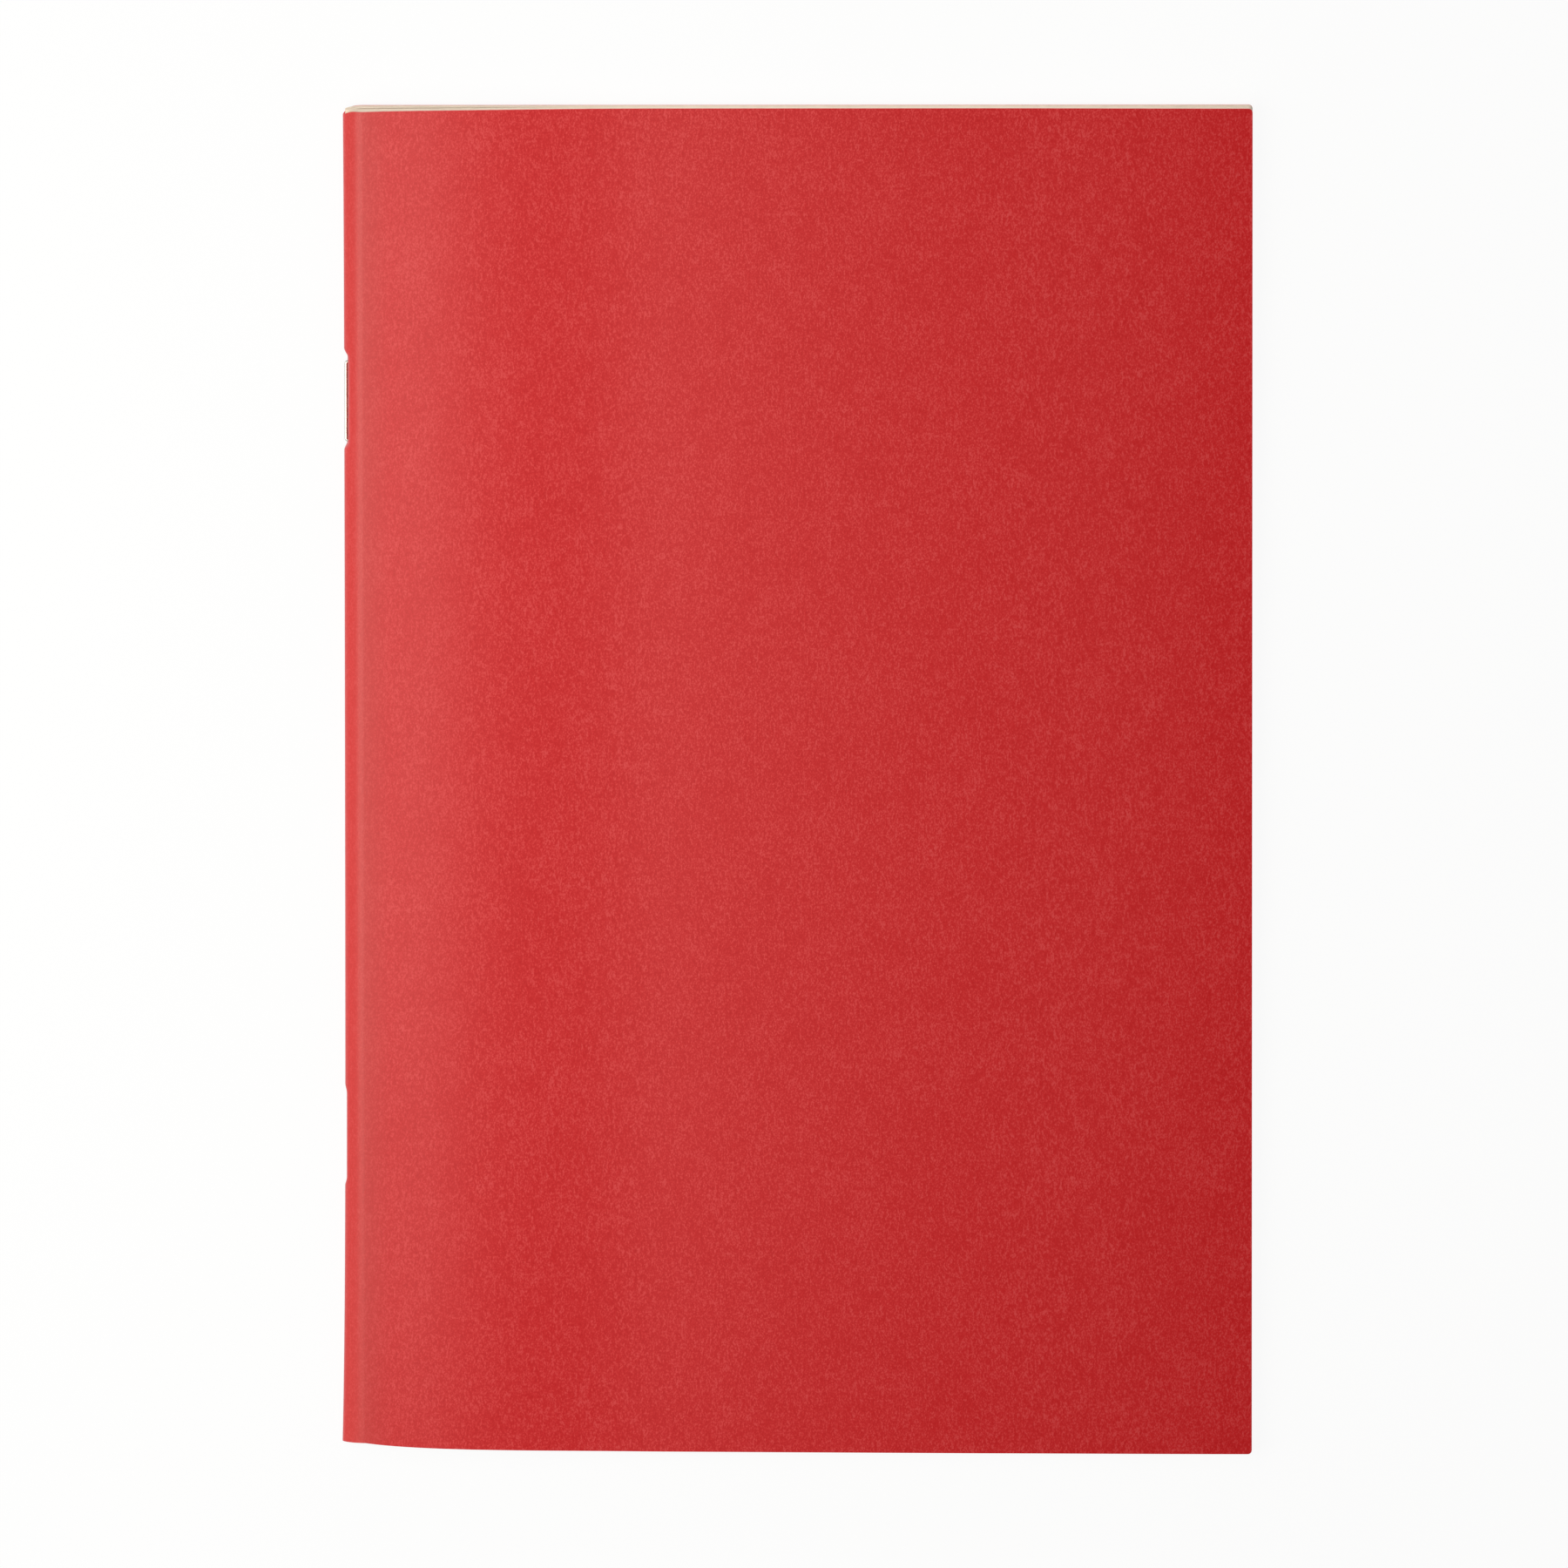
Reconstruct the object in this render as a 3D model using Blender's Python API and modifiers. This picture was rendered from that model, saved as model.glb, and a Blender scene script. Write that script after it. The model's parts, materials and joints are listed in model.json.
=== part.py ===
"""Stapled notebook: a folded card cover, twelve folded sheets and two wire staples.

The notebook lies on its back cover. +X runs from the fold to the fore edge, +Y to the head and +Z up.
Every sheet and the cover wrap the same fold axis, which is parallel to Y, so the book opens about it.
Lengths are in metres. Places along X and Z are measured from the fold axis until an object is placed.
"""

import math

import bmesh
import bpy
from mathutils import Matrix, Vector

MM = 0.001

# Format of the closed book
BOOK_WIDTH = 140.0 * MM
BOOK_HEIGHT = 210.0 * MM

# Paper and card
SHEET_COUNT = 12
LEAF_THICKNESS = 0.10 * MM
COVER_THICKNESS = 0.30 * MM
CORNER_RADIUS = 0.50 * MM

# Air between neighbouring leaves: at the fold, halfway across and at the fore edge
FOLD_GAP = 0.05 * MM
MIDDLE_GAP = 0.02 * MM
FORE_GAP = 0.04 * MM

# How far from the fold axis the stack stays thick, is pressed flat and springs up again
THICK_UNTIL = 12.0 * MM
FLAT_FROM = 46.0 * MM
FLAT_UNTIL = 95.0 * MM
STAPLE_SWELL_FROM = 1.0 * MM
STAPLE_SWELL_UNTIL = 12.0 * MM
CENTRE_GAP = 0.05 * MM

# The fold: each half leaf starts just past the axis, and the bend fills the space between the halves
HALF_START = 0.45 * MM
SEAM_GAP = 0.10 * MM
FOLD_SPRING = 0.55 * MM
FOOT_SPRING = 0.55 * MM
HEAD_SPRING = 0.15 * MM
END_SPRING_REACH = 22.0 * MM
SHEET_FOLD_STEPS = 6
COVER_FOLD_STEPS = 12
DENT_STEPS = 3

# The trimmed edges are drawn in at the fold, and the foot also tapers slowly towards the fold
HEAD_DRAW = 0.32 * MM
HEAD_DRAW_REACH = 9.0 * MM
FOOT_DRAW = 0.50 * MM
FOOT_DRAW_REACH = 5.0 * MM
FOOT_TAPER = 1.25 * MM
FOOT_TAPER_REACH = 34.0 * MM

# Wire staples
WIRE_DIAMETER = 0.50 * MM
CROWN_LENGTH = 12.7 * MM
CLINCH_LENGTH = 3.6 * MM
WIRE_BEND_RADIUS = 0.30 * MM
WIRE_BEND_STEPS = 3
CROWN_SEAT = 0.03 * MM
CLINCH_CLEARANCE = 0.10 * MM
HOLE_CLEARANCE = 0.03 * MM
STAPLE_PITCH = 116.0 * MM
STAPLE_SHIFT = 1.4 * MM
DENT_REACH = 4.5 * MM
DENT_MARGIN = 0.2 * MM
DENT_SPREAD = math.radians(60.0)
UPPER_SEAT_ANGLE = math.radians(176.0)
LOWER_SEAT_ANGLE = math.radians(206.0)

# The front cover turns on a line just above its own fold, clear of the staple crowns
COVER_HINGE_OFFSET = 0.20 * MM
COVER_HINGE_CLEARANCE = 0.08 * MM

# Sizes that follow from the ones above
WIRE_RADIUS = WIRE_DIAMETER / 2
INNER_FOLD_RADIUS = WIRE_RADIUS + CLINCH_CLEARANCE
FOLD_PITCH = LEAF_THICKNESS + FOLD_GAP
COVER_INNER_RADIUS = INNER_FOLD_RADIUS + SHEET_COUNT * FOLD_PITCH
COVER_OUTER_RADIUS = COVER_INNER_RADIUS + COVER_THICKNESS
CENTRE_SWELL = 2 * INNER_FOLD_RADIUS - FOLD_GAP
SPINE_REACH = COVER_OUTER_RADIUS + FOLD_SPRING + FOOT_SPRING
FORE_EDGE = BOOK_WIDTH - SPINE_REACH
AXIS_X = SPINE_REACH - BOOK_WIDTH / 2
AXIS_Z = COVER_OUTER_RADIUS
CROWN_RADIUS = COVER_OUTER_RADIUS + CROWN_SEAT + WIRE_RADIUS
LEG_OFFSET = CROWN_LENGTH / 2 - WIRE_RADIUS
CROWN_STAND = CROWN_RADIUS + WIRE_RADIUS - COVER_OUTER_RADIUS
COVER_HINGE_HEIGHT = COVER_OUTER_RADIUS + (CROWN_STAND + COVER_HINGE_CLEARANCE) / 2
STAPLES = (
    ("upper_staple", STAPLE_SHIFT + STAPLE_PITCH / 2, UPPER_SEAT_ANGLE),
    ("lower_staple", STAPLE_SHIFT - STAPLE_PITCH / 2, LOWER_SEAT_ANGLE),
)


def ease(value, start, end):
    """Go from 0 at start to 1 at end, level at both."""
    t = min(max((value - start) / (end - start), 0.0), 1.0)
    return t * t * (3.0 - 2.0 * t)


def leaf_gap(x):
    """Air between two leaves at a distance from the fold axis."""
    pressed = FOLD_GAP + (MIDDLE_GAP - FOLD_GAP) * ease(x, THICK_UNTIL, FLAT_FROM)
    return pressed + (FORE_GAP - MIDDLE_GAP) * ease(x, FLAT_UNTIL, FORE_EDGE)


def centre_gap(x):
    """Extra air in the middle opening, where the clinched wire holds the leaves apart."""
    settled = ease(x, STAPLE_SWELL_FROM, STAPLE_SWELL_UNTIL)
    return CENTRE_SWELL + (CENTRE_GAP - CENTRE_SWELL) * settled


def leaf_height(level, x):
    """Height of a leaf's middle from the fold axis. Level 0 lies on the back cover."""
    gap = leaf_gap(x)
    height = COVER_THICKNESS + gap + LEAF_THICKNESS / 2 + level * (LEAF_THICKNESS + gap)
    if level >= SHEET_COUNT:
        height += centre_gap(x)
    return height - AXIS_Z


def cover_height(x):
    """Height of the front cover's middle from the fold axis."""
    top_leaf = leaf_height(2 * SHEET_COUNT - 1, x)
    return top_leaf + LEAF_THICKNESS / 2 + leaf_gap(x) + COVER_THICKNESS / 2


def drawn_in(x, amount, reach):
    """How far an edge is drawn in at a distance from the axis, fading to nothing at the fore edge."""
    return amount * (math.exp(-max(x, 0.0) / reach) - math.exp(-FORE_EDGE / reach))


def edge_y(x, side):
    """The trimmed edge at the head (side 1) or the foot (side -1)."""
    if side > 0:
        return BOOK_HEIGHT / 2 - drawn_in(x, HEAD_DRAW, HEAD_DRAW_REACH)
    inward = drawn_in(x, FOOT_DRAW, FOOT_DRAW_REACH) + drawn_in(x, FOOT_TAPER, FOOT_TAPER_REACH)
    return inward - BOOK_HEIGHT / 2


def spring(y, angle):
    """How far the folds are pushed outwards, along -X: fully between the staples, not under a crown."""
    foot = FOOT_SPRING * math.exp(-(y + BOOK_HEIGHT / 2) / END_SPRING_REACH)
    head = HEAD_SPRING * math.exp(-(BOOK_HEIGHT / 2 - y) / END_SPRING_REACH)
    bulge = (FOLD_SPRING + foot + head) * math.cos(angle) ** 2
    for _, centre, seat_angle in STAPLES:
        edge = CROWN_LENGTH / 2 + DENT_MARGIN
        along = 1.0 - ease(abs(y - centre), edge, edge + DENT_REACH)
        around = 1.0 - ease(abs(angle - seat_angle), 0.0, DENT_SPREAD)
        bulge *= 1.0 - along * around
    return bulge


def material(name, color, roughness, metallic=0.0):
    """A plain Principled material."""
    made = bpy.data.materials.new(name)
    made.use_nodes = True
    shader = made.node_tree.nodes["Principled BSDF"]
    shader.inputs["Base Color"].default_value = (*color, 1.0)
    shader.inputs["Roughness"].default_value = roughness
    shader.inputs["Metallic"].default_value = metallic
    return made


def collection(name):
    """A collection in the scene."""
    made = bpy.data.collections.new(name)
    bpy.context.scene.collection.children.link(made)
    return made


def axis_empty(name, x, z):
    """An empty on a joint's axis. The pieces that turn on it are its children."""
    empty = bpy.data.objects.new(name, None)
    empty.location = (x, 0.0, z)
    BOOK.objects.link(empty)
    return empty


def surface(columns, rows, place):
    """A grid bent by a rule: place gives the point of each column and row."""
    bm = bmesh.new()
    bmesh.ops.create_grid(bm, x_segments=columns, y_segments=rows, size=1.0)
    for vert in bm.verts:
        column = round((vert.co.x + 1.0) / 2.0 * columns)
        row = round((vert.co.y + 1.0) / 2.0 * rows)
        vert.co = place(column, row)
    return bm


def piece_from(name, bm, finish_material, hinge):
    """Make a mesh an object and hang it on its joint's empty."""
    mesh = bpy.data.meshes.new(name)
    bm.to_mesh(mesh)
    bm.free()
    mesh.materials.append(finish_material)
    mesh.shade_smooth()
    mesh.set_sharp_from_angle(angle=math.radians(40.0))
    piece = bpy.data.objects.new(name, mesh)
    BOOK.objects.link(piece)
    piece.parent = hinge
    return piece


def half_stations():
    """Distances from the axis at which a half leaf bends."""
    near = [HALF_START, STAPLE_SWELL_FROM, THICK_UNTIL / 3, THICK_UNTIL * 2 / 3]
    falling = [THICK_UNTIL + (FLAT_FROM - THICK_UNTIL) * step / 4 for step in range(5)]
    rising = [FLAT_UNTIL + (FORE_EDGE - FLAT_UNTIL) * step / 4 for step in range(5)]
    return near + falling + rising


def half(name, height, thickness, finish_material, hinge, shift=(0.0, 0.0)):
    """One half of a folded piece, from beside the fold to the fore edge, with rounded corners."""
    stations = half_stations()

    def place(column, row):
        x = stations[column]
        return Vector((x - shift[0], edge_y(x, 1 if row else -1), height(x) - shift[1]))

    bm = surface(len(stations) - 1, 1, place)
    corners = [v for v in bm.verts if v.co.x > FORE_EDGE - shift[0] - CORNER_RADIUS / 2]
    bmesh.ops.bevel(
        bm, geom=corners, affect="VERTICES", offset=CORNER_RADIUS, segments=2, profile=0.5, material=-1
    )
    piece = piece_from(name, bm, finish_material, hinge)
    solid = piece.modifiers.new("thickness", "SOLIDIFY")
    solid.thickness = thickness
    solid.offset = 0.0
    return piece


def fold_stations():
    """Places along the fold, closer together where it is pinched in by a staple."""
    marks = []
    edge = CROWN_LENGTH / 2 + DENT_MARGIN
    for _, centre, _ in STAPLES:
        for side in (-1, 1):
            for step in range(DENT_STEPS + 1):
                marks.append(centre + side * (edge + DENT_REACH * step / DENT_STEPS))
    marks += [edge_y(0.0, -1), edge_y(0.0, 1)]
    marks += [edge_y(0.0, side) - side * END_SPRING_REACH for side in (-1, 1)]
    return sorted(marks)


def fold(name, radius, thickness, steps, finish_material):
    """The bend of a folded piece: a half round about the axis with a short flat tail at each side."""
    stations = fold_stations()
    tail = HALF_START - SEAM_GAP

    def place(column, row, reach):
        y = stations[row]
        if column in (0, steps + 2):
            return Vector((tail, y, reach if column == 0 else -reach))
        angle = math.pi / 2 + math.pi * (column - 1) / steps
        return Vector((reach * math.cos(angle) - spring(y, angle), y, reach * math.sin(angle)))

    bm = surface(steps + 2, len(stations) - 1, lambda column, row: Vector((column, row, 0.0)))
    bmesh.ops.extrude_face_region(bm, geom=list(bm.faces), use_keep_orig=True)
    bm.verts.index_update()
    inside_count = len(bm.verts) // 2
    for vert in bm.verts:
        reach = radius if vert.index < inside_count else radius + thickness
        vert.co = place(round(vert.co.x), round(vert.co.y), reach)
    bmesh.ops.recalc_face_normals(bm, faces=list(bm.faces))
    piece = piece_from(name, bm, finish_material, FOLD_AXIS)
    for cutter in LEG_CUTTERS:
        hole = piece.modifiers.new(cutter.name, "BOOLEAN")
        hole.operation = "DIFFERENCE"
        hole.object = cutter
        hole.solver = "EXACT"
    return piece


def seat_direction(seat_angle):
    """Unit vector from the fold axis to a staple's crown."""
    return Vector((math.cos(seat_angle), 0.0, math.sin(seat_angle)))


def leg_cutter(name, centre, seat_angle):
    """Two round cutters through all folds, one for each leg of a staple."""
    start = INNER_FOLD_RADIUS - CLINCH_CLEARANCE / 2
    end = CROWN_RADIUS + WIRE_DIAMETER
    direction = seat_direction(seat_angle)
    turn = Vector((0.0, 0.0, 1.0)).rotation_difference(direction).to_matrix().to_4x4()
    bm = bmesh.new()
    for side in (-1, 1):
        middle = direction * (start + end) / 2 + Vector((0.0, centre + side * LEG_OFFSET, 0.0))
        bmesh.ops.create_cone(
            bm,
            cap_ends=True,
            segments=12,
            radius1=WIRE_RADIUS + HOLE_CLEARANCE,
            radius2=WIRE_RADIUS + HOLE_CLEARANCE,
            depth=end - start,
            matrix=Matrix.Translation(middle) @ turn,
        )
    mesh = bpy.data.meshes.new(name)
    bm.to_mesh(mesh)
    bm.free()
    cutter = bpy.data.objects.new(name, mesh)
    CUTTERS.objects.link(cutter)
    cutter.parent = FOLD_AXIS
    cutter.hide_render = True
    cutter.display_type = "WIRE"
    return cutter


def staple(name, centre, seat_angle):
    """A bent wire: crown outside the cover, legs through the folds, ends clinched towards each other."""
    direction = seat_direction(seat_angle)
    half_path = [(LEG_OFFSET - CLINCH_LENGTH, 0.0)]
    for step in range(WIRE_BEND_STEPS + 1):
        turn = math.pi / 2 * step / WIRE_BEND_STEPS
        y = LEG_OFFSET - WIRE_BEND_RADIUS * (1.0 - math.sin(turn))
        half_path.append((y, WIRE_BEND_RADIUS * (1.0 - math.cos(turn))))
    for step in range(WIRE_BEND_STEPS + 1):
        turn = math.pi / 2 * step / WIRE_BEND_STEPS
        y = LEG_OFFSET - WIRE_BEND_RADIUS * (1.0 - math.cos(turn))
        half_path.append((y, CROWN_RADIUS - WIRE_BEND_RADIUS * (1.0 - math.sin(turn))))
    path = half_path + [(-y, reach) for y, reach in reversed(half_path)]

    curve = bpy.data.curves.new(name, "CURVE")
    curve.dimensions = "3D"
    curve.bevel_depth = WIRE_RADIUS
    curve.bevel_resolution = 2
    curve.use_fill_caps = True
    wire = curve.splines.new("POLY")
    wire.points.add(len(path) - 1)
    for point, (y, reach) in zip(wire.points, path):
        point.co = (*(direction * reach + Vector((0.0, centre + y, 0.0))), 1.0)
    wire.use_smooth = True
    curve.materials.append(STEEL)
    piece = bpy.data.objects.new(name, curve)
    BOOK.objects.link(piece)
    piece.parent = FOLD_AXIS
    return piece


for old in list(bpy.data.objects):
    bpy.data.objects.remove(old, do_unlink=True)

BOOK = collection("notebook")
CUTTERS = collection("cutters")
RED_CARD = material("red_card", (0.60, 0.05, 0.05), 0.75)
PAPER = material("cream_paper", (0.85, 0.79, 0.66), 0.85)
STEEL = material("staple_wire", (0.72, 0.72, 0.70), 0.3, 1.0)

# The joint axes
FOLD_AXIS = axis_empty("fold_axis", AXIS_X, AXIS_Z)
COVER_AXIS = axis_empty("cover_axis", AXIS_X + COVER_HINGE_OFFSET, AXIS_Z + COVER_HINGE_HEIGHT)

# Leg holes, then the cover
LEG_CUTTERS = [leg_cutter(f"{name}_holes", centre, angle) for name, centre, angle in STAPLES]
half("back_cover", lambda x: COVER_THICKNESS / 2 - AXIS_Z, COVER_THICKNESS, RED_CARD, FOLD_AXIS)
half(
    "front_cover",
    cover_height,
    COVER_THICKNESS,
    RED_CARD,
    COVER_AXIS,
    shift=(COVER_HINGE_OFFSET, COVER_HINGE_HEIGHT),
)
fold("cover_fold", COVER_INNER_RADIUS, COVER_THICKNESS, COVER_FOLD_STEPS, RED_CARD)

# The sheets, numbered from the centre outwards
for number in range(1, SHEET_COUNT + 1):
    label = f"sheet_{number:02d}"
    back_level = SHEET_COUNT - number
    front_level = SHEET_COUNT + number - 1
    half(
        f"{label}_back_leaf",
        lambda x, level=back_level: leaf_height(level, x),
        LEAF_THICKNESS,
        PAPER,
        FOLD_AXIS,
    )
    half(
        f"{label}_front_leaf",
        lambda x, level=front_level: leaf_height(level, x),
        LEAF_THICKNESS,
        PAPER,
        FOLD_AXIS,
    )
    inner_radius = INNER_FOLD_RADIUS + (number - 1) * FOLD_PITCH
    fold(f"{label}_fold", inner_radius, LEAF_THICKNESS, SHEET_FOLD_STEPS, PAPER)

# The staples
for staple_name, staple_centre, staple_angle in STAPLES:
    staple(staple_name, staple_centre, staple_angle)
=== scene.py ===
# %% [markdown]
# # A stapled notebook with a red card cover
#
# This lesson dresses a slim notebook: one folded red card, twelve folded sheets of cream paper and two wire
# staples through the fold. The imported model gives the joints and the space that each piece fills. The
# script builds the fine surface of each piece around it, gives every surface its own finish, and then
# lights and frames the notebook as a product photograph would.

# %% Load the frame
import json
import math
import random

import bmesh
import bpy
from mathutils import Matrix, Vector


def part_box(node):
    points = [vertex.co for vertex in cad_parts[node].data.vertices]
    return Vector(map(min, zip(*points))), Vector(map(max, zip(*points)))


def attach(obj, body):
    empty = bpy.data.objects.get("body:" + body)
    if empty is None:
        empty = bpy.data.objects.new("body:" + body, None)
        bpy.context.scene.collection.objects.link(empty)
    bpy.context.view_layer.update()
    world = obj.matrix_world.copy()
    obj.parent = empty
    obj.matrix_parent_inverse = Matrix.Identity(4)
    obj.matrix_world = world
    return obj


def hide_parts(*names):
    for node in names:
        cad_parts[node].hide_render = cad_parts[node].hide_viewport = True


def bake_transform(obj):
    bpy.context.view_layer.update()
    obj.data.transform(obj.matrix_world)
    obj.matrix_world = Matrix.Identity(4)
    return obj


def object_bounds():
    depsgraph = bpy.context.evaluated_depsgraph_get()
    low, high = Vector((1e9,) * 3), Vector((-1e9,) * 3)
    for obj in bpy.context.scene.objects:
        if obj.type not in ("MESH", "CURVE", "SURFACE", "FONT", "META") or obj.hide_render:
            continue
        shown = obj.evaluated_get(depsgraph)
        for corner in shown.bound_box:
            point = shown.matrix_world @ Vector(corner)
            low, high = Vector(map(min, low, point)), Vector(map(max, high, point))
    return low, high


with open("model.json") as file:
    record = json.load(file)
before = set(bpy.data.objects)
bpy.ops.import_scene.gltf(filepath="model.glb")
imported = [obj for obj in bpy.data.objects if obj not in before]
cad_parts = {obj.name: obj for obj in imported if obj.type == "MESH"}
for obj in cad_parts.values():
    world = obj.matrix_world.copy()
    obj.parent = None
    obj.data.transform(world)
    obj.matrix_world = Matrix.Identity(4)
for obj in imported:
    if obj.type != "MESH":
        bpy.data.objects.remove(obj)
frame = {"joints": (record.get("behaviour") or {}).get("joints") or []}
cad_low, cad_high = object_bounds()

# %% [markdown]
# ## The sizes that shape the notebook
#
# Everything is measured from the fold axis, the line that all the sheets wrap. The joint says where that
# axis lies, so it is read from the frame instead of being written again. The other sizes are the ones that
# a bookbinder would name: the thickness of paper and card, the air between leaves, and the wire.

# %% Named sizes
MM = 0.001
SHEETS = 12
LEAF_THICKNESS = 0.10 * MM
COVER_THICKNESS = 0.30 * MM
CORNER_RADIUS = 0.60 * MM

FOLD_GAP = 0.05 * MM
MIDDLE_GAP = 0.02 * MM
FORE_GAP = 0.04 * MM
THICK_UNTIL = 12.0 * MM
FLAT_FROM = 46.0 * MM
FLAT_UNTIL = 95.0 * MM
STAPLE_SWELL_FROM = 8.0 * MM
STAPLE_SWELL_UNTIL = 40.0 * MM
CENTRE_GAP = 0.05 * MM

FOLD_SPRING = 0.55 * MM
FOOT_SPRING = 0.55 * MM
HEAD_SPRING = 0.15 * MM
END_SPRING_REACH = 22.0 * MM
HEAD_DRAW = 0.32 * MM
HEAD_DRAW_REACH = 9.0 * MM
FOOT_DRAW = 0.50 * MM
FOOT_DRAW_REACH = 5.0 * MM
FOOT_TAPER = 1.50 * MM
FOOT_TAPER_REACH = 34.0 * MM
CORNER_DIP = 0.90 * MM
DIP_REACH = 12.0 * MM
DIP_SHARPNESS = 5

WIRE_RADIUS = 0.25 * MM
CROWN_LENGTH = 12.7 * MM
CLINCH_LENGTH = 3.6 * MM
WIRE_BEND_RADIUS = 0.30 * MM
CROWN_SEAT = 0.03 * MM
CLINCH_CLEARANCE = 0.10 * MM
DENT_REACH = 1.5 * MM
DENT_MARGIN = 0.2 * MM
DENT_SPREAD = math.radians(60.0)

joints = {joint["name"]: joint for joint in frame["joints"]}
AXIS = Vector(joints["centre_opening"]["pos_m"])
BOOK_HEIGHT = cad_high[1] - cad_low[1]
FORE_EDGE = cad_high[0] - AXIS.x
INNER_FOLD_RADIUS = WIRE_RADIUS + CLINCH_CLEARANCE
FOLD_PITCH = LEAF_THICKNESS + FOLD_GAP
COVER_INNER_RADIUS = INNER_FOLD_RADIUS + SHEETS * FOLD_PITCH
COVER_OUTER_RADIUS = COVER_INNER_RADIUS + COVER_THICKNESS
CENTRE_SWELL = 2 * INNER_FOLD_RADIUS - FOLD_GAP
CROWN_RADIUS = COVER_OUTER_RADIUS + CROWN_SEAT + WIRE_RADIUS
LEG_OFFSET = CROWN_LENGTH / 2 - WIRE_RADIUS


def staple_place(name, seat_degrees):
    """Where a staple sits: the middle of its crown along the fold, and its angle round the fold."""
    low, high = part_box(name)
    return name, (low[1] + high[1]) / 2, math.radians(seat_degrees)


STAPLES = (staple_place("upper_staple", 176.0), staple_place("lower_staple", 206.0))
print("fold axis", [round(value, 5) for value in AXIS], "fore edge", round(FORE_EDGE / MM, 2), "mm")

# %% [markdown]
# ## The rules that bend the paper
#
# A stack of folded paper is never a plain box. It is thick at the fold, where the wire and the bends hold
# it open, it is pressed flat halfway across, and it springs up again at the fore edge. Its trimmed edges
# draw in towards the fold, and the fold itself bulges outwards except where a staple pinches it. Each of
# these could be sculpted by hand, but a short rule for each one keeps all the sheets nested without touching.

# %% Rules for the stack and the fold
def ease(value, start, end):
    """Go from 0 at start to 1 at end, level at both."""
    t = min(max((value - start) / (end - start), 0.0), 1.0)
    return t * t * (3.0 - 2.0 * t)


def leaf_gap(x):
    """Air between two leaves at a distance from the fold axis."""
    pressed = FOLD_GAP + (MIDDLE_GAP - FOLD_GAP) * ease(x, THICK_UNTIL, FLAT_FROM)
    return pressed + (FORE_GAP - MIDDLE_GAP) * ease(x, FLAT_UNTIL, FORE_EDGE)


def leaf_height(level, x):
    """Height of a leaf's middle over the fold axis. Level 0 lies on the back cover."""
    gap = leaf_gap(x)
    height = COVER_THICKNESS + gap + LEAF_THICKNESS / 2 + level * (LEAF_THICKNESS + gap)
    if level >= SHEETS:
        settled = ease(x, STAPLE_SWELL_FROM, STAPLE_SWELL_UNTIL)
        height += CENTRE_SWELL + (CENTRE_GAP - CENTRE_SWELL) * settled
    return height - AXIS.z


def front_cover_height(x):
    """Height of the front cover's middle over the fold axis."""
    top_leaf = leaf_height(2 * SHEETS - 1, x)
    return top_leaf + LEAF_THICKNESS / 2 + leaf_gap(x) + COVER_THICKNESS / 2


def back_cover_height(x):
    """The back cover lies flat."""
    return COVER_THICKNESS / 2 - AXIS.z


def drawn_in(x, amount, reach):
    """How far an edge is drawn in at a distance from the axis, fading to nothing at the fore edge."""
    return amount * (math.exp(-max(x, 0.0) / reach) - math.exp(-FORE_EDGE / reach))


def edge_y(x, side, fore_x, height):
    """The trimmed edge at the head (side 1) or the foot (side -1), rounded at the fore corner."""
    into_corner = min(max(x - (fore_x - CORNER_RADIUS), 0.0), CORNER_RADIUS)
    inward = CORNER_RADIUS - math.sqrt(CORNER_RADIUS**2 - into_corner**2)
    if side > 0:
        share = min(max((height + COVER_OUTER_RADIUS) / (2 * COVER_OUTER_RADIUS), 0.0), 1.0)
        return BOOK_HEIGHT / 2 - inward - share * drawn_in(x, HEAD_DRAW, HEAD_DRAW_REACH)
    inward += drawn_in(x, FOOT_DRAW, FOOT_DRAW_REACH) + drawn_in(x, FOOT_TAPER, FOOT_TAPER_REACH)
    return inward - BOOK_HEIGHT / 2


def spring(y, angle):
    """How far the folds are pushed outwards, along -X: fully between the staples, not under a crown."""
    foot = FOOT_SPRING * math.exp(-(y + BOOK_HEIGHT / 2) / END_SPRING_REACH)
    head = HEAD_SPRING * math.exp(-(BOOK_HEIGHT / 2 - y) / END_SPRING_REACH)
    bulge = (FOLD_SPRING + foot + head) * math.cos(angle) ** 2
    for _, centre, seat_angle in STAPLES:
        edge = CROWN_LENGTH / 2 + DENT_MARGIN
        along = 1.0 - ease(abs(y - centre), edge, edge + DENT_REACH)
        around = 1.0 - ease(abs(angle - seat_angle), 0.0, DENT_SPREAD)
        bulge *= 1.0 - along * around
    return bulge


print("thickness", [round((front_cover_height(x * MM) + AXIS.z) / MM + 0.15, 2) for x in (1, 70, 130)], "mm")

# %% [markdown]
# ## Shader maths as plain expressions
#
# A finish is a small network of nodes. Wiring it by hand takes many lines, so one class wraps a socket and
# gives it Python's operators, and another makes the nodes. An expression such as 0.5 + grain * 0.2 then adds
# the Math nodes that it needs.

# %% A wrapped socket and a finish under construction
class Value:
    """A number that changes over a surface."""

    def __init__(self, finish, socket):
        self.finish = finish
        self.socket = socket

    def maths(self, operation, first, second):
        return self.finish.add("ShaderNodeMath", {0: first, 1: second}, operation=operation)

    def __add__(self, other):
        return self.maths("ADD", self, other)

    def __radd__(self, other):
        return self.maths("ADD", other, self)

    def __mul__(self, other):
        return self.maths("MULTIPLY", self, other)

    def __rmul__(self, other):
        return self.maths("MULTIPLY", other, self)


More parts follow.
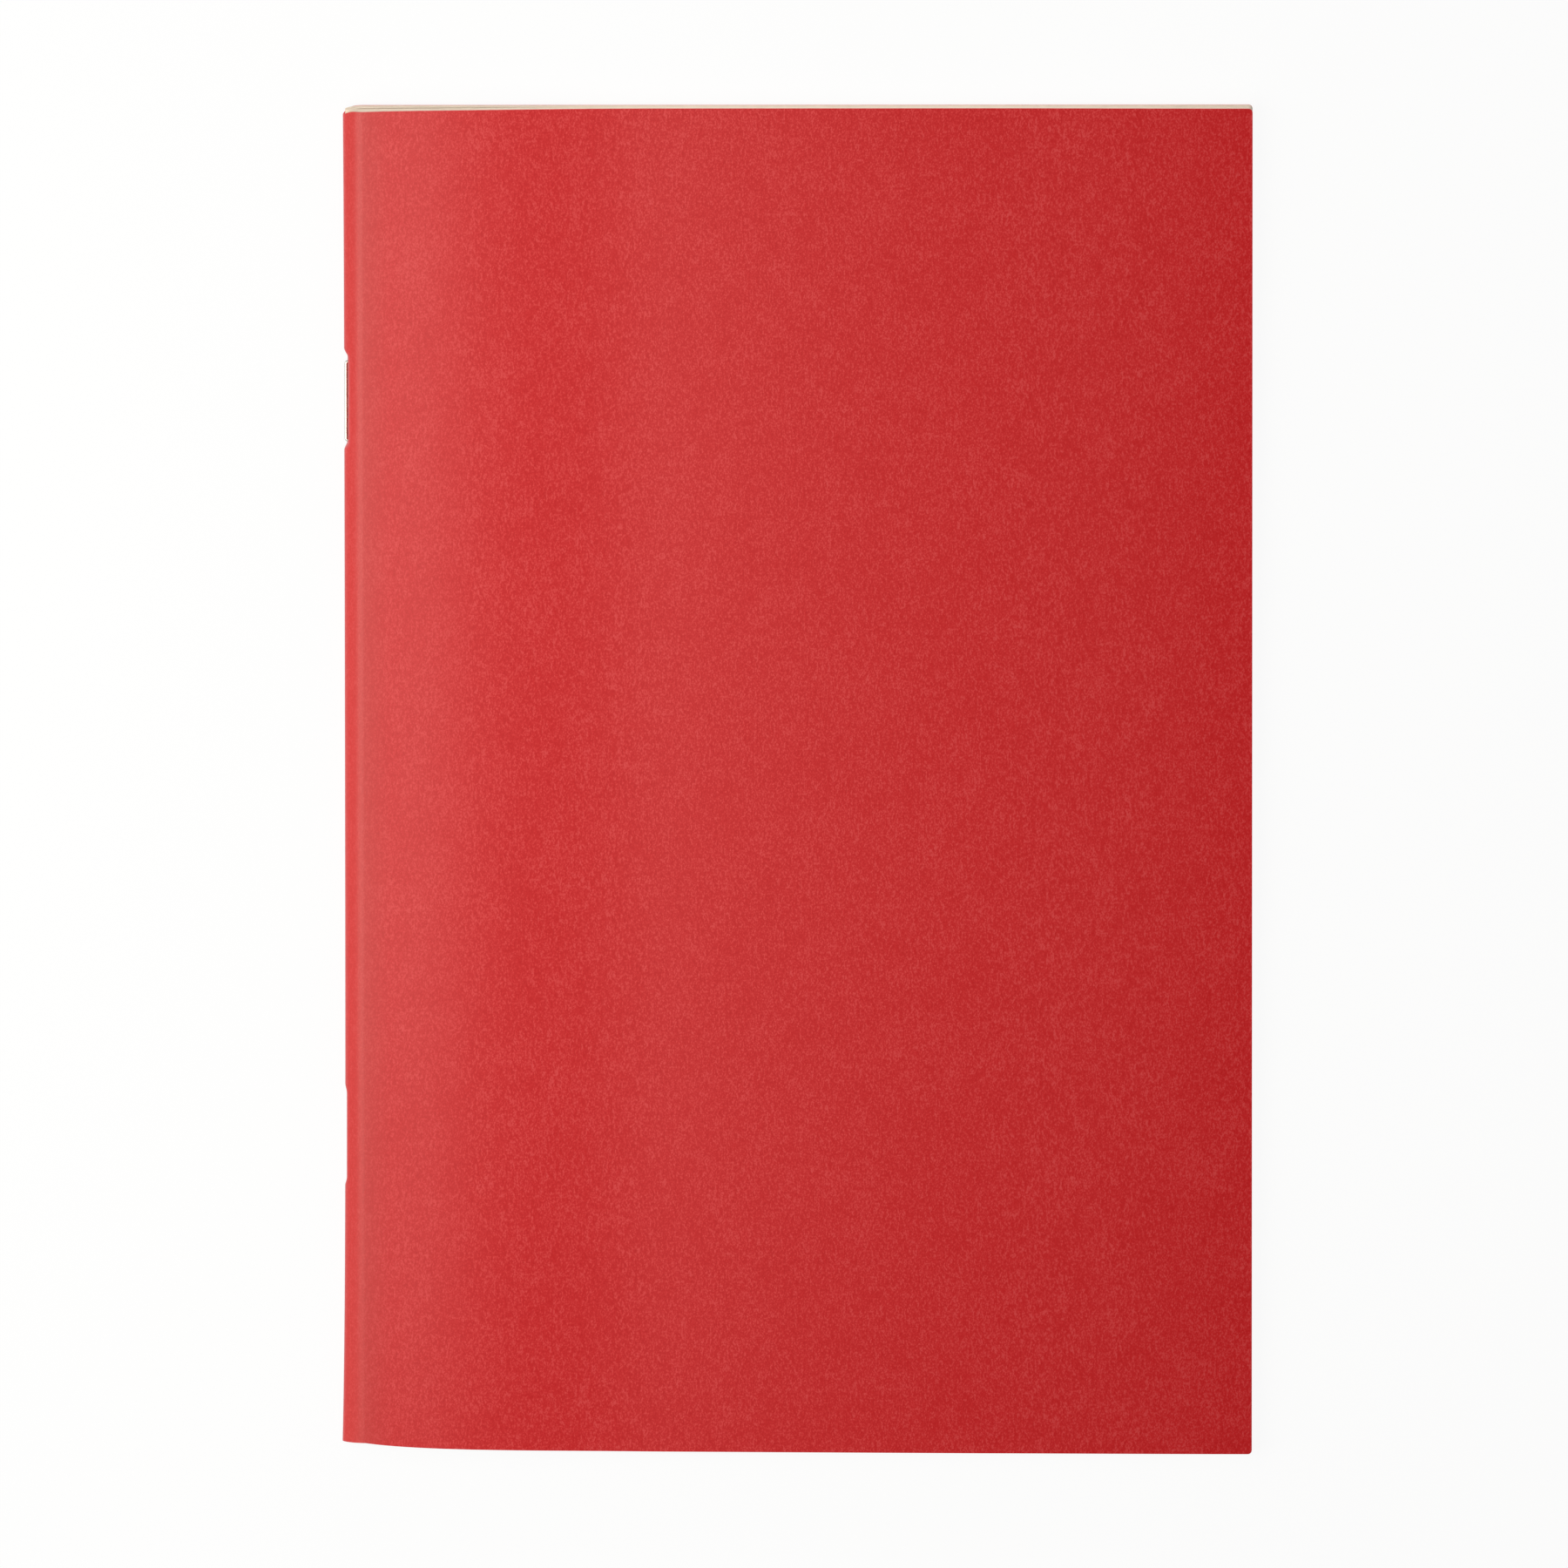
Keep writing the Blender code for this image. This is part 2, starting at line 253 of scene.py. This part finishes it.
class Finish:
    """A material under construction."""

    def __init__(self, name, constants):
        self.material = bpy.data.materials.new(name)
        self.material.use_nodes = True
        self.tree = self.material.node_tree
        self.shader = self.tree.nodes["Principled BSDF"]
        for socket, value in constants.items():
            self.shader.inputs[socket].default_value = value

    def add(self, kind, inputs=None, output=0, **settings):
        """Make a node: its settings first, then the values or links of its sockets."""
        node = self.tree.nodes.new(kind)
        for setting, value in settings.items():
            setattr(node, setting, value)
        for socket, value in (inputs or {}).items():
            self.set(node.inputs[socket], value)
        return Value(self, node.outputs[output])

    def set(self, socket, value):
        if isinstance(value, Value):
            self.tree.links.new(value.socket, socket)
        else:
            socket.default_value = value

    def place(self, stretch=(1.0, 1.0, 1.0)):
        """Where a point lies on the piece, stretched or squeezed along each axis."""
        coordinates = self.add("ShaderNodeTexCoord", output="Object")
        return self.add("ShaderNodeMapping", {"Vector": coordinates, "Scale": stretch})

    def noise(self, place, size, detail=2.0, roughness=0.5, distortion=0.0):
        """Soft random patches of about the given size, as a number around 0.5."""
        wanted = {"Vector": place, "Scale": 1.0 / size, "Detail": detail}
        wanted.update({"Roughness": roughness, "Distortion": distortion})
        return self.add("ShaderNodeTexNoise", wanted)

    def range(self, value, low, high, new_low=0.0, new_high=1.0):
        """Map a range of a value to a new one, and hold it there."""
        ends = {"Value": value, 1: low, 2: high, 3: new_low, 4: new_high}
        return self.add("ShaderNodeMapRange", ends)

    def blend(self, first, second, factor):
        """Go from one colour to another."""
        ends = {0: factor, 6: first, 7: second}
        return self.add("ShaderNodeMix", ends, output=2, data_type="RGBA")

    def bump(self, height, distance, strength=1.0):
        """Lean the surface by a height."""
        wanted = {"Height": height, "Distance": distance, "Strength": strength}
        self.set(self.shader.inputs["Normal"], self.add("ShaderNodeBump", wanted))


# %% [markdown]
# ## Red card
#
# The cover is a matt, through-dyed card. Up close its colour is uneven: fine fibres lie mostly along the
# grain, which runs with the spine, over softer clouds of pulp a few millimetres wide. A picture of card would
# show this too, but noise in the piece's own space has no seams and stays sharp at any distance. Four layers
# of noise do it: short fibres, a fine grain, clouds of pulp and broad patches. The tips of the fibres are
# paler, and a band along the fold is blended halfway to a greyer, slightly darker red. The fibres also lean
# the surface, so that they catch the light.

# %% The card finish
FIBRE_SIZE = 0.44 * MM
GRAIN_SIZE = 0.22 * MM
CLOUD_SIZE = 3.2 * MM
PATCH_SIZE = 16.0 * MM
# A band along the fold, from a millimetre outside the axis to four inside, is blended towards a greyer,
# slightly darker red.
FOLD_TINT_FROM = AXIS.x - 1.0 * MM
FOLD_TINT_UNTIL = AXIS.x + 4.0 * MM
FOLD_TINT_SHARE = 0.5


def card(name, dark, light, pale, fold_tint):
    """Dyed card with fibres along Y, clouds of pulp and a soft sheen."""
    finish = Finish(name, {"Specular IOR Level": 0.44})
    fibres = finish.noise(finish.place((1.0, 0.42, 1.0)), FIBRE_SIZE, 2.0, 0.6, 0.5)
    grain = finish.noise(finish.place((1.0, 0.65, 1.0)), GRAIN_SIZE, 2.0, 0.7)
    clouds = finish.noise(finish.place((1.0, 0.7, 1.0)), CLOUD_SIZE, 1.0, 0.5)
    patches = finish.noise(finish.place(), PATCH_SIZE, 1.0)
    shade = 0.85 * fibres + 1.45 * grain + 0.22 * clouds + 0.10 * patches
    dyed = finish.blend(dark, light, finish.range(shade, 1.02, 1.60))
    tips = finish.range(shade, 1.31, 1.60)
    along = finish.add("ShaderNodeSeparateXYZ", {0: finish.place()})
    # Blend the colour towards the greyer, slightly darker red along the fold.
    at_fold = finish.range(along, FOLD_TINT_FROM, FOLD_TINT_UNTIL, FOLD_TINT_SHARE, 0.0)
    colour = finish.blend(finish.blend(dyed, pale, tips), fold_tint, at_fold)
    finish.set(finish.shader.inputs["Base Color"], colour)
    finish.set(finish.shader.inputs["Roughness"], finish.range(fibres, 0.3, 0.7, 0.32, 0.36))
    finish.bump(fibres + 0.5 * grain, 0.03 * MM, 0.35)
    return finish.material


RED_CARD = card(
    "red_card_cover",
    dark=(0.576, 0.000, 0.003, 1.0),
    light=(0.680, 0.013, 0.018, 1.0),
    pale=(0.71, 0.048, 0.052, 1.0),
    fold_tint=(0.54, 0.036, 0.033, 1.0),
)
print("finish", RED_CARD.name)

# %% [markdown]
# ## Cream paper and staple wire
#
# The pages are uncoated ivory paper, nearly even in colour, with a faint cloudiness. The staples are bright
# drawn wire. Drawing leaves fine lines along the wire, and a former leaves small flat spots, so the metal's
# roughness varies and a shallow bump breaks up the reflections.

# %% The paper and wire finishes
def paper(name, shade, light):
    """Uncoated paper with a soft, cloudy look and a fine tooth."""
    finish = Finish(name, {"Roughness": 0.8, "Specular IOR Level": 0.3})
    clouds = finish.noise(finish.place(), 3.0 * MM, 3.0, 0.6)
    tooth = finish.noise(finish.place(), 0.2 * MM, 2.0, 0.6)
    tone = finish.range(0.6 * clouds + 0.4 * tooth, 0.35, 0.65)
    finish.set(finish.shader.inputs["Base Color"], finish.blend(shade, light, tone))
    finish.bump(tooth, 0.01 * MM, 0.3)
    return finish.material


def wire(name, shade, light):
    """Bright drawn steel wire, with lines along it and small dull spots."""
    finish = Finish(name, {"Metallic": 1.0, "Roughness": 0.25})
    lines = finish.noise(finish.place((1.0, 0.05, 1.0)), 0.08 * MM, 2.0, 0.6)
    spots = finish.noise(finish.place(), 0.7 * MM, 2.0, 0.5)
    finish.set(finish.shader.inputs["Base Color"], finish.blend(shade, light, spots))
    finish.set(finish.shader.inputs["Roughness"], finish.range(lines + spots, 0.7, 1.3, 0.16, 0.34))
    finish.bump(lines, 0.01 * MM, 0.25)
    return finish.material


CREAM_PAPER = paper("cream_paper_pages", (0.77, 0.65, 0.53, 1.0), (0.87, 0.75, 0.63, 1.0))
STAPLE_WIRE = wire("staple_steel", (0.56, 0.55, 0.52, 1.0), (0.76, 0.75, 0.71, 1.0))
print("finishes", CREAM_PAPER.name, STAPLE_WIRE.name)

# %% [markdown]
# ## A folded piece
#
# A folded card or sheet runs across the back leaf, round the fold and across the front leaf. It could be
# modelled flat and bent with a modifier, but then neighbouring sheets would cut through each other. Here a
# grid is placed by the rules above, over the whole piece or a part of it. The grid is extruded into a second
# skin, and both skins are placed at their own distance, so the piece has its true thickness everywhere. First
# come the places of the grid's lines: far apart where the paper is flat, and close where it bends.

# %% Columns across a piece and rows along it
FOLD_STEPS = 24
CURVE_STEPS = 8
CORNER_STEPS = 5
NEAR_FOLD_COLUMNS = (1, 2, 3, 4.5, 6, 8, 10)
ROW_STEP = 7.0 * MM
END_ROW_STEP = 2.5 * MM
END_ROWS = 3


def leaf_columns(fore_x, start=0.0):
    """Distances from the axis to the fore edge, closer where the paper bends or its corner is round."""
    marks = [start] + [x * MM for x in NEAR_FOLD_COLUMNS if x * MM > start]
    curve = range(CURVE_STEPS + 1)
    marks += [THICK_UNTIL + (FLAT_FROM - THICK_UNTIL) * step / CURVE_STEPS for step in curve]
    marks += [FLAT_UNTIL + (fore_x - CORNER_RADIUS - FLAT_UNTIL) * step / CURVE_STEPS for step in curve]
    turns = [math.pi / 2 * step / CORNER_STEPS for step in range(1, CORNER_STEPS + 1)]
    marks += [fore_x - CORNER_RADIUS * (1.0 - math.sin(turn)) for turn in turns]
    return marks


def row_places():
    """Places along the fold, closer together around the staples and at the ends."""
    half = BOOK_HEIGHT / 2
    marks = [-half + ROW_STEP * step for step in range(1, int(2 * half / ROW_STEP))]
    edge = CROWN_LENGTH / 2 + DENT_MARGIN
    marks = [y for y in marks if all(abs(y - centre) > edge + DENT_REACH for _, centre, _ in STAPLES)]
    for _, centre, _ in STAPLES:
        for side in (-1, 1):
            dent = [edge + DENT_REACH * step / CURVE_STEPS for step in range(CURVE_STEPS + 1)]
            marks += [centre + side * reach for reach in dent]
    marks += [side * (half - END_ROW_STEP * step) for side in (-1, 1) for step in range(END_ROWS)]
    return sorted(set(round(y, 7) for y in marks))


ROWS = row_places()
print("rows", len(ROWS), "columns on a leaf", len(leaf_columns(FORE_EDGE)))

# %% [markdown]
# ## From a grid to a piece
#
# Every point of the grid knows its column, its row and its skin, and the rules say where that point lies on
# the book. The fold's columns are angles round the axis, and a leaf's columns are distances from it. The rim
# that the extrusion makes becomes the cut edge of the paper.

# %% Place and build a folded piece
def piece_point(mark, y, skin, thickness, radius, heights, fore_x, dip):
    """A point of a piece. The inner skin is 0 and the outer skin is 1. The dip lowers the fold's head."""
    kind, value = mark
    if kind == "fold":
        reach = radius + skin * thickness
        sprung = reach * math.cos(value) - spring(y, value)
        height = reach * math.sin(value)
        around = (-math.cos(value)) ** DIP_SHARPNESS
        lowered = dip * around * ease(y, BOOK_HEIGHT / 2 - DIP_REACH, BOOK_HEIGHT / 2)
        return AXIS + Vector((sprung, row_y(0.0, y, fore_x, height) - lowered, height))
    outward = 1.0 if kind == "front" else -1.0
    height = heights[kind](value) + outward * (skin - 0.5) * thickness
    return AXIS + Vector((value, row_y(value, y, fore_x, height), height))


def row_y(x, y, fore_x, height):
    """Where a row lies at a distance from the axis, between the trimmed edges there."""
    foot, head = edge_y(x, -1, fore_x, height), edge_y(x, 1, fore_x, height)
    share = (y + BOOK_HEIGHT / 2) / BOOK_HEIGHT
    return foot + (head - foot) * share


def folded_piece(name, marks, thickness, radius, heights, fore_x, material, dip=0.0):
    """Build a piece from a grid: extrude a second skin, place both and close the rim."""
    bm = bmesh.new()
    columns, rows = len(marks) - 1, len(ROWS) - 1
    bmesh.ops.create_grid(bm, x_segments=columns, y_segments=rows, size=1.0)
    for vert in bm.verts:
        vert.co.x = round((vert.co.x + 1.0) / 2.0 * columns)
        vert.co.y = round((vert.co.y + 1.0) / 2.0 * rows)
    made = bmesh.ops.extrude_face_region(bm, geom=list(bm.faces), use_keep_orig=True)
    outer = {item for item in made["geom"] if isinstance(item, bmesh.types.BMVert)}
    for vert in bm.verts:
        mark, y = marks[round(vert.co.x)], ROWS[round(vert.co.y)]
        skin = 1.0 if vert in outer else 0.0
        vert.co = piece_point(mark, y, skin, thickness, radius, heights, fore_x, dip)
    bmesh.ops.recalc_face_normals(bm, faces=list(bm.faces))
    return finished(name, bm, material)


def finished(name, bm, material, sharp_degrees=50.0):
    """Turn a bmesh into a smooth-shaded object at the origin."""
    mesh = bpy.data.meshes.new(name)
    bm.to_mesh(mesh)
    bm.free()
    mesh.shade_smooth()
    mesh.set_sharp_from_angle(angle=math.radians(sharp_degrees))
    mesh.materials.append(material)
    piece = bpy.data.objects.new(name, mesh)
    bpy.context.scene.collection.objects.link(piece)
    return piece


def fold_marks(steps):
    """The half round of a fold, from under the axis to over it."""
    turns = (math.pi * 1.5 - math.pi * step / steps for step in range(1, steps))
    return [("fold", turn) for turn in turns]


print("columns round a fold", len(fold_marks(FOLD_STEPS)))

# %% [markdown]
# ## The sheets
#
# Twelve sheets nest inside each other. A guillotine cuts them together, so their edges are nearly flush, but
# each sheet ends up to a tenth of a millimetre short, which gives the block of pages its fine lines. A sheet
# is built in three pieces that meet edge to edge just past the fold. The two leaves are stiff and each rides
# on its own body. The bend between them is left in place, on no body.

# %% Build the sheets
LEAF_SPLIT = 1.0 * MM
TRIM_SCATTER = 0.10 * MM
SCATTER_SEED = 11
scatter = random.Random(SCATTER_SEED)


def sheet(number):
    """A folded sheet: its back leaf, its bend and its front leaf. Number 1 lies in the centre."""
    fore_x = FORE_EDGE - TRIM_SCATTER * scatter.random()
    back_level, front_level = SHEETS - number, SHEETS + number - 1
    heights = {
        "back": lambda x: leaf_height(back_level, x),
        "front": lambda x: leaf_height(front_level, x),
    }
    radius = INNER_FOLD_RADIUS + (number - 1) * FOLD_PITCH
    name = f"sheet_{number:02d}"
    across = leaf_columns(fore_x, LEAF_SPLIT)
    bend_marks = [("back", LEAF_SPLIT), ("back", 0.0)] + fold_marks(FOLD_STEPS)
    bend_marks += [("front", 0.0), ("front", LEAF_SPLIT)]
    parts = {
        "back_leaf": [("back", x) for x in reversed(across)],
        "fold": bend_marks,
        "front_leaf": [("front", x) for x in across],
    }
    made = []
    for part, marks in parts.items():
        piece_name = f"{name}_{part}_paper"
        piece = folded_piece(piece_name, marks, LEAF_THICKNESS, radius, heights, fore_x, CREAM_PAPER)
        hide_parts(f"{name}_{part}")
        made.append(piece)
    outermost = number == SHEETS
    back_body = "back_cover" if outermost else f"back_leaf_{number:02d}"
    front_body = "outer_front_leaf" if outermost else f"front_leaf_{number:02d}"
    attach(made[0], back_body)
    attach(made[2], front_body)
    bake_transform(made[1])
    return made


sheets = [sheet(number) for number in range(1, SHEETS + 1)]
print("sheets", len(sheets), "faces each", sum(len(piece.data.polygons) for piece in sheets[0]))

# %% [markdown]
# ## The cover
#
# The cover is one card on the real book, and it bends in two places: round the spine when the book opens,
# and beside the spine when only the front cover is lifted. A piece can bend across one joint, so the card is
# built in two pieces that meet edge to edge on the flat just past the fold. The card is built in two pieces
# that meet edge to edge on the flat just past the fold, and both are left in place, on no body.

# %% Build the cover
COVER_SPLIT = 1.0 * MM
cover_heights = {"back": back_cover_height, "front": front_cover_height}
across = leaf_columns(FORE_EDGE)

wrap_marks = [("back", x) for x in reversed(across)] + fold_marks(2 * FOLD_STEPS)
wrap_marks += [("front", 0.0), ("front", COVER_SPLIT)]
cover_wrap = folded_piece(
    "cover_back_and_spine",
    wrap_marks,
    COVER_THICKNESS,
    COVER_INNER_RADIUS,
    cover_heights,
    FORE_EDGE,
    RED_CARD,
    dip=CORNER_DIP,
)
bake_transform(cover_wrap)
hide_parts("back_cover", "cover_fold")

panel_marks = [("front", x) for x in leaf_columns(FORE_EDGE, COVER_SPLIT)]
cover_panel = folded_piece(
    "cover_front", panel_marks, COVER_THICKNESS, COVER_INNER_RADIUS, cover_heights, FORE_EDGE, RED_CARD
)
bend_height = Vector((0.0, 0.0, front_cover_height(COVER_SPLIT)))
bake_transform(cover_panel)
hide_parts("front_cover")
print("cover faces", len(cover_wrap.data.polygons) + len(cover_panel.data.polygons))

# %% [markdown]
# ## The staples
#
# A book staple is a length of round wire with a long crown outside the spine and two legs through the paper,
# clinched towards each other inside the centre fold. A ring of wire is extruded along its path, with a few
# short steps in each bend. The cut ends are drawn to a blunt point, as a wire cutter leaves them.

# %% Build the staples
WIRE_SIDES = 20
BEND_STEPS = 8
POINT_SHARE = 0.1
POINT_WIDTH = 0.6


def staple_path(centre, seat_angle):
    """The middle line of the wire, from one cut end to the other."""
    outwards = Vector((math.cos(seat_angle), 0.0, math.sin(seat_angle)))
    point = CLINCH_LENGTH * (1.0 - POINT_SHARE)
    half = [(LEG_OFFSET - CLINCH_LENGTH, 0.0), (LEG_OFFSET - point, 0.0)]
    for step in range(BEND_STEPS + 1):
        turn = math.pi / 2 * step / BEND_STEPS
        y = LEG_OFFSET - WIRE_BEND_RADIUS * (1.0 - math.sin(turn))
        half.append((y, WIRE_BEND_RADIUS * (1.0 - math.cos(turn))))
    for step in range(BEND_STEPS + 1):
        turn = math.pi / 2 * step / BEND_STEPS
        y = LEG_OFFSET - WIRE_BEND_RADIUS * (1.0 - math.cos(turn))
        half.append((y, CROWN_RADIUS - WIRE_BEND_RADIUS * (1.0 - math.sin(turn))))
    whole = half + [(-y, reach) for y, reach in reversed(half)]
    return [AXIS + outwards * reach + Vector((0.0, centre + y, 0.0)) for y, reach in whole], outwards


def wire_staple(name, centre, seat_angle):
    """Sweep a ring along the staple's path."""
    path, outwards = staple_path(centre, seat_angle)
    sideways = outwards.cross(Vector((0.0, 1.0, 0.0)))
    bm = bmesh.new()
    ring = bmesh.ops.create_circle(bm, cap_ends=True, radius=WIRE_RADIUS, segments=WIRE_SIDES)["verts"]
    edges = list({edge for vert in ring for edge in vert.link_edges})
    rings = [ring]
    for _ in path[1:]:
        made = bmesh.ops.extrude_edge_only(bm, edges=edges)["geom"]
        ring = [item for item in made if isinstance(item, bmesh.types.BMVert)]
        edges = [item for item in made if isinstance(item, bmesh.types.BMEdge)]
        rings.append(ring)
    bmesh.ops.contextual_create(bm, geom=edges)
    offsets = [vert.co.copy() for vert in rings[0]]
    for index, (ring, place) in enumerate(zip(rings, path)):
        before, after = path[max(index - 1, 0)], path[min(index + 1, len(path) - 1)]
        along = (after - before).normalized()
        across = sideways.cross(along)
        size = POINT_WIDTH if index in (0, len(path) - 1) else 1.0
        for vert, offset in zip(ring, offsets):
            vert.co = place + (sideways * offset.x + across * offset.y) * size
    bmesh.ops.recalc_face_normals(bm, faces=list(bm.faces))
    return finished(name, bm, STAPLE_WIRE)


for staple_name, staple_centre, staple_angle in STAPLES:
    staple = wire_staple(f"{staple_name}_wire", staple_centre, staple_angle)
    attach(staple, staple_name)
    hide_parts(staple_name)
    print("staple", staple_name, "faces", len(staple.data.polygons))

# %% [markdown]
# ## The floor
#
# The notebook lies on a plain white surface that vanishes into the background. A white floor alone would
# need strong light to look white, which would wash out the card. Instead the floor shows the camera, and the
# bright wire, mostly plain white, and keeps a small share of its real shading for the notebook's soft shadow.

# %% Floor and world
FLOOR_SIZE = 3.0
FLOOR_DROP = 0.02 * MM
FLOOR_SHADE_SHARE = 0.07
WHITE = (1.0, 1.0, 1.0, 1.0)


def white_for_camera(finish, share):
    """Mix plain white into what camera, glossy and transmission rays see, and leave other light alone."""
    camera_ray, glossy_ray, transmission_ray = (
        finish.add("ShaderNodeLightPath", output=kind)
        for kind in ("Is Camera Ray", "Is Glossy Ray", "Is Transmission Ray")
    )
    rays = {0: camera_ray + glossy_ray, 1: transmission_ray}
    seen = finish.add("ShaderNodeMath", rays, operation="ADD", use_clamp=True)
    white = finish.add("ShaderNodeEmission", {"Color": WHITE, "Strength": 1.0})
    shaded = Value(finish, finish.shader.outputs[0])
    mixed = finish.add("ShaderNodeMixShader", {0: seen * share, 1: shaded, 2: white})
    finish.set(finish.tree.nodes["Material Output"].inputs["Surface"], mixed)


floor_bm = bmesh.new()
bmesh.ops.create_grid(floor_bm, x_segments=1, y_segments=1, size=FLOOR_SIZE / 2)
bmesh.ops.translate(floor_bm, vec=(0.0, 0.0, cad_low[2] - FLOOR_DROP), verts=list(floor_bm.verts))
floor_look = {"Base Color": (0.9, 0.9, 0.9, 1.0), "Roughness": 0.9, "Specular IOR Level": 0.1}
floor_finish = Finish("white_floor", floor_look)
floor = finished("floor", floor_bm, floor_finish.material)
white_for_camera(floor_finish, 1.0 - FLOOR_SHADE_SHARE)

WORLD_STRENGTH = 0.19
world = bpy.data.worlds.new("studio")
world.use_nodes = True
bpy.context.scene.world = world
sky = world.node_tree.nodes["Background"]
sky.inputs["Color"].default_value = WHITE
sky.inputs["Strength"].default_value = WORLD_STRENGTH
print("world strength", WORLD_STRENGTH)

# %% [markdown]
# ## Light
#
# In the photograph the card is lighter and a little milky beside the spine, and deeper red towards the fore
# edge. A soft box above the spine does both: its light falls off across the cover, and the card's soft sheen
# mirrors it only near the spine. A second one beside the spine lights the round of the fold, and a low third
# one at the head lights the edges of the pages there.

# %% The three soft boxes
def soft_box(name, place, size, power, color, turn_degrees=(0.0, 0.0)):
    """An area light. Unturned it shines straight down; the turns are about X and Y."""
    light_data = bpy.data.lights.new(name, "AREA")
    light_data.shape = "RECTANGLE"
    light_data.size, light_data.size_y = size
    light_data.energy = power
    light_data.color = color
    light = bpy.data.objects.new(name, light_data)
    light.location = place
    light.rotation_euler.x = math.radians(turn_degrees[0])
    light.rotation_euler.y = math.radians(turn_degrees[1])
    bpy.context.scene.collection.objects.link(light)
    return light


WARM = (1.0, 0.97, 0.86)
NEUTRAL = (1.0, 0.985, 0.95)
soft_boxes = [
    soft_box("soft_box_above", (-0.22, 0.015, 0.37), (0.35, 0.39), 1.42, WARM),
    soft_box("soft_box_at_spine", (-0.55, 0.0, 0.25), (0.45, 0.90), 1.3, WARM, (0.0, -82.0)),
    soft_box("soft_box_at_head", (0.05, 0.55, 0.09), (0.50, 0.16), 1.35, NEUTRAL, (-80.0, 0.0)),
]
print("soft boxes", [(light.name, round(light.data.energy, 2)) for light in soft_boxes])

# %% [markdown]
# ## Camera
#
# The notebook is seen from almost straight above, leaning about ten degrees over the head, so that the edges
# of the pages show there. Its sides stay nearly parallel, which a long lens far away gives. Ten metres is far
# enough for that. From much farther away, a view from another side would be clipped and show nothing.

# %% The camera
CAMERA_DISTANCE = 10.0
CAMERA_LEAN = math.radians(10.05)
CAMERA_ROLL = math.radians(-0.035)
FRAME_WIDTH = 0.2410
AIM = Vector((-0.00196, -0.00016, 0.0040))

camera_data = bpy.data.cameras.new("camera")
camera_data.sensor_width = 36.0
camera_data.lens = camera_data.sensor_width * CAMERA_DISTANCE / FRAME_WIDTH
camera_data.clip_end = 2.0 * CAMERA_DISTANCE
camera = bpy.data.objects.new("camera", camera_data)
bpy.context.scene.collection.objects.link(camera)
camera.location = AIM + CAMERA_DISTANCE * Vector((0.0, math.sin(CAMERA_LEAN), math.cos(CAMERA_LEAN)))
look = Matrix.Rotation(-CAMERA_LEAN, 4, "X") @ Matrix.Rotation(CAMERA_ROLL, 4, "Z")
camera.rotation_euler = look.to_euler()
bpy.context.scene.camera = camera
bpy.context.scene.view_settings.view_transform = "Standard"
print("lens", round(camera_data.lens, 1), "mm")
